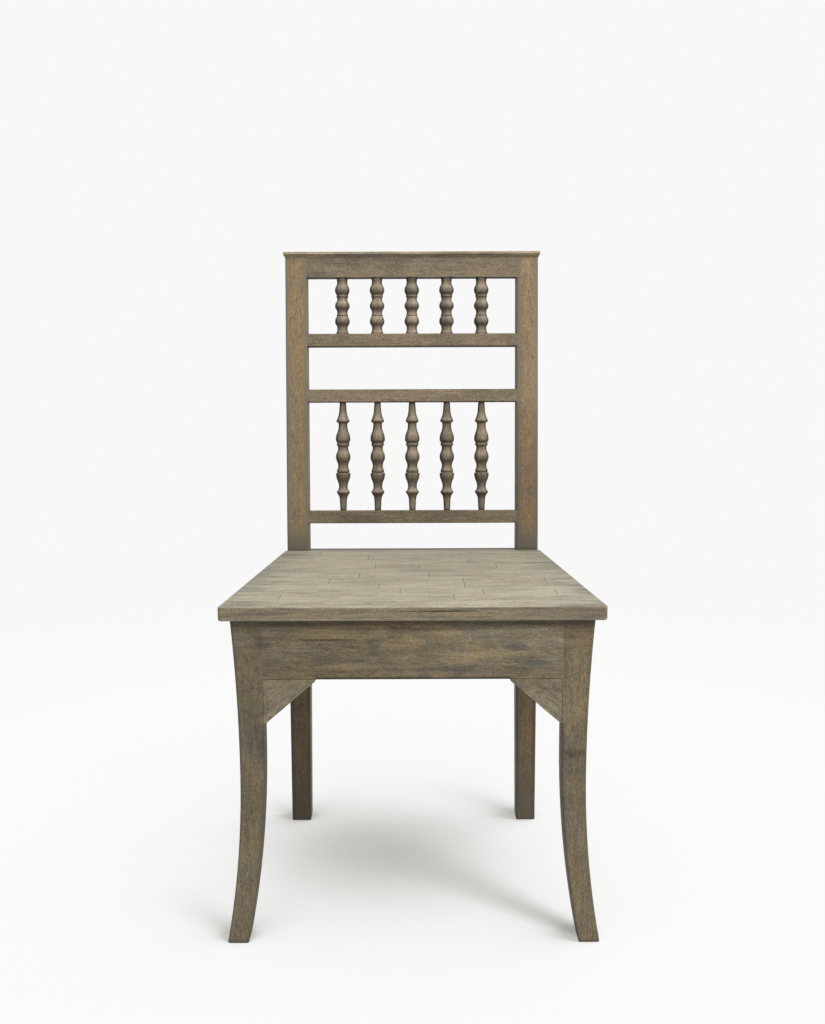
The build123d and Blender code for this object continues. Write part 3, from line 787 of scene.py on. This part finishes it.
class CHAIR_OT_spindles(bpy.types.Operator):
    """Finish both banks of turned spindles"""

    bl_idname = "chair.spindles"
    bl_label = "Finish the spindles"

    def execute(self, context):
        look = context.scene.chair_finish
        for seed, node in enumerate(UPPER_SPINDLES + LOWER_SPINDLES, start=SPINDLE_SEED):
            wood = Wood(f"wood_{node}", GRAIN_Z, seed)
            wood.tone(look.spindle_dark, look.spindle_light, lighter=0.03).silver(share=0.5)
            # Painted light and shade by lean: slopes facing up lighter, slopes facing down darker
            wood.figure(streaks=0.12, specks=0.2, cracks=0.0).lean(TURNED, level_down=0.44, level_up=1.52)
            wood.scale(UPPER_LEVEL if node in UPPER_SPINDLES else LOWER_LEVEL)
            # Worn rims that are partly a painted highlight, and sides darkened as painted shade
            wood.rim(SPINDLE_RIM, look.spindle_light, amount=0.7).shade_flanks(look.deep_dirt_and_shade, amount=0.7)
            # Painted shade on the faces turned away from the light on the right
            wood.mix(wood.fall(wood.normal["X"], *SHADY_SIDE), look.deep_dirt_and_shade, amount=0.45)
            # Dirt and painted shade in the hollows and the grooves
            wood.dirt_and_shade(SPINDLE_HOLLOW, amount=0.8, high=0.9)
            wood.dirt_and_shade(SPINDLE_GROOVE, amount=0.95, low=0.45, high=0.95)
            coat(node, wood.done())
        return {"FINISHED"}


class CHAIR_OT_seat(bpy.types.Operator):
    """Finish the strips of the seat"""

    bl_idname = "chair.seat"
    bl_label = "Finish the seat"

    def execute(self, context):
        look = context.scene.chair_finish
        front, back = (self.edge(node) for node in (STRIPS[0], STRIPS[-2]))
        shade = [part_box(STRIPS[-1])[1].y + inset for inset in REAR_SHADE]
        arris = [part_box(STRIPS[0])[0].z + height for height in SEAT_LOWER_ARRIS]
        for seed, node in enumerate(STRIPS, start=STRIP_SEED):
            wood = Wood(f"wood_{node}", GRAIN_X, seed)
            wood.tone(look.seat_dark, look.seat_light, lighter=0.05).staves(spread=0.06).silver(share=0.3)
            wood.mix(wood.fall(wood.silvering, *TANNED), look.seat_tan, amount=0.3)
            wood.mark(*WORN_SPOT, look.seat_tan, amount=0.5)
            # Painted shade before the rear edge
            wood.band("Y", *shade, look.seat_shade, amount=0.9)
            wood.border(front, back, SEAT_STREAKS, look.seat_shade, amount=0.55)
            wood.sides(look.seat_edge, amount=0.9, streaks=look.seat_shade, streak_amount=0.55)
            upright = wood.fall(wood.upward, *SEAT_ARRIS)
            wood.band("Z", *arris, look.seat_light, amount=0.35, where=upright)
            wood.figure(streaks=0.12, specks=0.18, cracks=0.4)
            wood.rim(SEAT_RIM, look.seat_light, amount=0.35)
            wood.mark(*EDGE_CRACK, look.deep_dirt_and_shade, amount=0.9)
            wood.mark(*EDGE_STAIN, look.seat_shade, amount=0.25)
            # Lighter in front and darker at the back, and the underside darkened as painted shade
            wood.fade("Y", front[1], back[1], level_start=1.06, level_end=0.94).under(level=0.8)
            coat(node, wood.dirt_and_shade(CORNER, amount=0.4).done())
        return {"FINISHED"}

    def edge(self, node):
        """Half the width of a strip at its front, and the place of that front."""
        low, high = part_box(node)
        return high.x, low.y


class CHAIR_OT_legs(bpy.types.Operator):
    """Finish the front legs"""

    bl_idname = "chair.legs"
    bl_label = "Finish the front legs"

    def execute(self, context):
        look = context.scene.chair_finish
        apron_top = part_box("front_apron")[1].z
        bracket_low, bracket_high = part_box(BRACKETS[1])
        joints = [(bracket_low.z, apron_top + JOINT_FADE)]
        shaded_under_seat = [apron_top + height for height in LEG_SHADE]
        for seed, node in enumerate(LEGS, start=LEG_SEED):
            left = node.endswith("left")
            side = -1 if left else 1
            wood = Wood(f"wood_{node}", GRAIN_Z, seed, swirl=LEG_SWIRL, lap=APRON_SEED)
            wood.tone(look.leg_dark, look.leg_light, spread=0.17).silver(share=0.35)
            wood.base_marks(LEG_MARKS[node])
            wood.base_marks(mark for mark in APRON_MARKS if side * mark[0] > LAP_MARKS)
            wood.figure(streaks=0.12, specks=0.23, cracks=0.2, pores=0.2)
            wood.rim(LEG_RIM, look.base_edge, amount=0.75, where=wood.away_from(bracket_high.x, joints))
            # Painted shade on the sides of the legs
            wood.shade_flanks(look.deep_dirt_and_shade, amount=0.5)
            if left:
                wood.fade("Z", *LEG_FOOT, level_start=1.0, level_end=0.84)
            # Painted shade under the seat
            wood.band("Z", *shaded_under_seat, look.deep_dirt_and_shade, amount=0.4 if left else 0.6)
            wood.fade("Z", *LEG_HEAD, level_start=0.92, level_end=1.0)
            coat(node, wood.dirt_and_shade(CORNER, amount=0.75).done())
        return {"FINISHED"}


class CHAIR_OT_aprons(bpy.types.Operator):
    """Finish the aprons and their brackets"""

    bl_idname = "chair.aprons"
    bl_label = "Finish the aprons"

    def execute(self, context):
        look = context.scene.chair_finish
        apron_low, apron_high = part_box("front_apron")
        bracket_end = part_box(BRACKETS[1])[0].x
        joint = [apron_low.z + height for height in APRON_JOINT]
        arris = [apron_low.z + height for height in APRON_ARRIS]
        shaded_under_seat = [apron_high.z + height for height in APRON_SHADE]
        for seed, node in enumerate(CROSS_APRONS + SIDE_APRONS, start=APRON_SEED):
            grain = GRAIN_X if node in CROSS_APRONS else GRAIN_Y
            wood = Wood(f"wood_{node}", grain, seed, swirl=BASE_SWIRL, shared=BASE_SEED)
            wood.tone(look.apron_dark, look.base_light, spread=0.115).silver(share=0.45)
            if node == "front_apron":
                wood.base_marks(APRON_MARKS)
            wood.figure(streaks=0.17, specks=0.23, cracks=0.3, pores=0.25)
            across = wood.math("ABSOLUTE", wood.axis["X"])
            held = wood.span(across, bracket_end - BRACKET_FADE, bracket_end + BRACKET_FADE)
            wood.band("Z", *joint, look.base_light, amount=0.4, where=held)
            # Painted shade: a dark line along the lower edge of the open span
            wood.band("Z", *arris, look.deep_dirt_and_shade, amount=0.75, where=wood.rest(held))
            # Painted light: lighter towards the top, where the seat shades the apron
            wood.fade("Z", apron_low.z, apron_high.z, level_start=0.88, level_end=1.36)
            if node == "front_apron":
                # Painted light: lighter towards the right, where the light comes from
                wood.fade("X", *APRON_ACROSS, level_start=0.86, level_end=1.12)
            # Painted shade under the seat and on the undersides
            wood.band("Z", *shaded_under_seat, look.deep_dirt_and_shade, amount=0.67).under(level=0.3)
            coat(node, wood.dirt_and_shade(CORNER, amount=0.7, high=0.8).done())
        for seed, node in enumerate(BRACKETS, start=BRACKET_SEED):
            slant = BRACKET_SLANT if node.endswith("left") else -BRACKET_SLANT
            wood = Wood(f"wood_{node}", (0.0, slant, 0.0), seed, swirl=BASE_SWIRL, shared=BASE_SEED)
            wood.tone(look.base_dark, look.bracket_light, lighter=0.06, spread=0.16).silver(share=0.6)
            # Undersides darkened as painted shade
            wood.figure(streaks=0.16, specks=0.23, cracks=0.2, pores=0.2).under(level=0.5)
            coat(node, wood.dirt_and_shade(CORNER, amount=0.75).done())
        return {"FINISHED"}


class CHAIR_OT_inner(bpy.types.Operator):
    """Finish the corner blocks, dowels and screws"""

    bl_idname = "chair.inner"
    bl_label = "Finish the inner pieces"

    def execute(self, context):
        look = context.scene.chair_finish
        raw = Wood("wood_raw", GRAIN_X, RAW_SEED).tone(look.raw_dark, look.raw_light)
        raw.figure(streaks=0.14, specks=0.1).dirt_and_shade(CORNER, amount=0.5)
        raw_wood = raw.done()
        for node in BLOCKS + DOWELS:
            coat(node, raw_wood)
        plated = steel("screw_steel", look.steel)
        for node in SCREWS:
            coat(node, plated)
        return {"FINISHED"}


class CHAIR_OT_stage(bpy.types.Operator):
    """Set the floor, the lights and the camera"""

    bl_idname = "chair.stage"
    bl_label = "Set the stage"

    def execute(self, context):
        scene = context.scene
        stage = scene.chair_stage
        self.floor(stage)
        self.lights(scene, stage)
        self.camera(scene, stage)
        scene.view_settings.view_transform = "Standard"
        return {"FINISHED"}

    def seen(self, g):
        """One for rays that show the floor or the backdrop, and none for those that light the chair."""
        rays = g.node("ShaderNodeLightPath").outputs
        shown = g.math("MAXIMUM", rays["Is Camera Ray"], rays["Is Transmission Ray"])
        return g.math("MAXIMUM", shown, rays["Is Glossy Ray"])

    def course(self, g, stage, place, start):
        """How far a place on the floor lies from a start, along the shadows of the legs and across them."""
        way = Vector(stage.shadow_way).normalized()
        away = g.vector("SUBTRACT", place, start)
        along = g.vector("DOT_PRODUCT", away, tuple(way))
        across = g.vector("DOT_PRODUCT", away, (way.y, -way.x, 0.0))
        return along, g.math("ABSOLUTE", across)

    def shadow(self, g, stage, place):
        """Level of the floor, a painted shadow: the close shadow, a streak from each foot, and a darker
        core.
        """
        lean = g.node("ShaderNodeCombineXYZ", enumerate(Vector(stage.shadow_lean).normalized())).outputs[0]
        sky = g.node("ShaderNodeAmbientOcclusion", {"Distance": stage.shadow_reach, "Normal": lean},
                     samples=SHADOW_SAMPLES).outputs["AO"]
        hidden = g.math("POWER", g.rest(sky), SHADOW_FALL)
        level = g.math("MAXIMUM", g.math("MULTIPLY_ADD", hidden, -stage.shadow_depth, 1.0), SHADOW_DARKEST)
        for node, (depth, length) in STREAKS.items():
            low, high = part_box(node)
            side = low.x + FOOT_INSET[0] if node.endswith("left") else high.x - FOOT_INSET[0]
            along, across = self.course(g, stage, place, (side, low.y + FOOT_INSET[1], 0.0))
            width = g.math("MULTIPLY_ADD", g.math("MAXIMUM", along, 0.0), STREAK_SPREAD, STREAK_WIDTH)
            streak = g.fall(g.math("DIVIDE", across, width), 0.0, 1.0)
            streak = g.times(streak, g.span(along, -STREAK_WIDTH, 0.0))
            streak = g.times(streak, g.span(along, 0.0, length, depth, 0.0))
            level = g.times(level, g.rest(streak))
        along, across = self.course(g, stage, place, CORE_PLACE)
        shares = {0: g.math("DIVIDE", along, CORE_LENGTH), 1: g.math("DIVIDE", across, CORE_BREADTH)}
        out = g.vector("LENGTH", g.node("ShaderNodeCombineXYZ", shares).outputs[0])
        return g.times(level, g.span(out, 0.0, 1.0, 1.0 - CORE_DEPTH, 1.0))

    def floor(self, stage):
        """A disc that glows with a painted shadow, is partly lit with real shadows, and fades into the
        backdrop.
        """
        bpy.ops.mesh.primitive_circle_add(
            vertices=FLOOR_SIDES, radius=FLOOR_RADIUS, fill_type="NGON", location=(0, 0, 0))
        disc = bpy.context.object
        disc.name = "floor"
        material = bpy.data.materials.new("floor")
        material.use_nodes = True
        g = Graph(material.node_tree)
        place = g.node("ShaderNodeTexCoord").outputs["Object"]
        level = self.shadow(g, stage, place)
        tinted = g.fall(level, SHADOW_TINTED, 1.0)
        tinted = g.blend(tinted, rgba(stage.floor_color), rgba(stage.floor_shade))
        lit = g.node("ShaderNodeBsdfDiffuse", {"Color": rgba(stage.floor_color)})
        glow = g.node("ShaderNodeEmission", {"Color": tinted, "Strength": level})
        shown = g.node("ShaderNodeMixShader", {0: stage.floor_glow, 1: lit.outputs[0], 2: glow.outputs[0]})
        bounce = g.node("ShaderNodeBsdfDiffuse", {"Color": rgba(stage.floor_bounce)})
        pale = g.node("ShaderNodeMixShader", {0: self.seen(g), 1: bounce.outputs[0], 2: shown.outputs[0]})
        clear = g.node("ShaderNodeBsdfTransparent")
        away = g.span(g.vector("LENGTH", place), *FLOOR_FADE)
        faded = g.node("ShaderNodeMixShader", {0: away, 1: pale.outputs[0], 2: clear.outputs[0]})
        g.node("ShaderNodeOutputMaterial", {"Surface": faded.outputs[0]})
        disc.data.materials.append(material)

    def lights(self, scene, stage):
        """A white room that is brighter on the right and in front, and a broad overhead light."""
        world = bpy.data.worlds.new("white_room")
        scene.world = world
        world.use_nodes = True
        g = Graph(world.node_tree)
        way = g.node("ShaderNodeTexCoord").outputs["Generated"]
        right = g.node("ShaderNodeSeparateXYZ", {0: way}).outputs["X"]
        facing = g.vector("DOT_PRODUCT", way, tuple(Vector(stage.glow_from).normalized()))
        lobe = g.times(g.math("POWER", g.math("MAXIMUM", facing, 0.0), GLOW_FALL), stage.glow)
        level = g.math("ADD", g.math("MULTIPLY_ADD", right, stage.lean * stage.dome, stage.dome), lobe)
        room = g.node("ShaderNodeBackground", {"Color": rgba(WHITE), "Strength": level})
        back = g.node("ShaderNodeBackground", {"Color": rgba(stage.backdrop), "Strength": 1.0})
        pick = g.node("ShaderNodeMixShader", {0: self.seen(g), 1: room.outputs[0], 2: back.outputs[0]})
        g.node("ShaderNodeOutputWorld", {"Surface": pick.outputs[0]})
        lamp = bpy.data.lights.new("broad_light", "SUN")
        lamp.energy = stage.key_power
        lamp.angle = stage.key_angle
        key = bpy.data.objects.new("broad_light", lamp)
        key.rotation_euler = Vector(stage.key_aim).to_track_quat("-Z", "Y").to_euler()
        scene.collection.objects.link(key)

    def camera(self, scene, stage):
        """The camera at the picture's angle."""
        data = bpy.data.cameras.new("camera")
        data.sensor_fit = "VERTICAL"
        data.sensor_height = SENSOR_HEIGHT
        data.lens = stage.lens
        camera = bpy.data.objects.new("camera", data)
        turn = Matrix.Rotation(stage.yaw, 3, "Z") @ Matrix.Rotation(math.pi / 2 - stage.pitch, 3, "X")
        camera.rotation_euler = (turn @ Matrix.Rotation(-stage.roll, 3, "Z")).to_euler()
        camera.location = stage.eye
        scene.collection.objects.link(camera)
        scene.camera = camera


class CHAIR_PT_panel(bpy.types.Panel):
    """Steps of the chair's finish"""

    bl_idname = "CHAIR_PT_panel"
    bl_label = "Spindle back chair"
    bl_space_type = "VIEW_3D"
    bl_region_type = "UI"
    bl_category = "Chair"

    def draw(self, context):
        column = self.layout.column(align=True)
        for step in STEPS:
            column.operator(step.bl_idname)


STEPS = (CHAIR_OT_posts, CHAIR_OT_rails, CHAIR_OT_spindles, CHAIR_OT_seat, CHAIR_OT_legs, CHAIR_OT_aprons,
         CHAIR_OT_inner, CHAIR_OT_stage)
CLASSES = (CHAIR_PG_finish, CHAIR_PG_stage, *STEPS, CHAIR_PT_panel)


def register():
    for cls in CLASSES:
        bpy.utils.register_class(cls)
    bpy.types.Scene.chair_finish = PointerProperty(type=CHAIR_PG_finish)
    bpy.types.Scene.chair_stage = PointerProperty(type=CHAIR_PG_stage)


def unregister():
    del bpy.types.Scene.chair_stage
    del bpy.types.Scene.chair_finish
    for cls in reversed(CLASSES):
        bpy.utils.unregister_class(cls)


def main():
    register()
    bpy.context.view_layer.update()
    bpy.ops.chair.posts()
    bpy.ops.chair.rails()
    bpy.ops.chair.spindles()
    bpy.ops.chair.seat()
    bpy.ops.chair.legs()
    bpy.ops.chair.aprons()
    bpy.ops.chair.inner()
    bpy.ops.chair.stage()


if __name__ == "__main__":
    main()
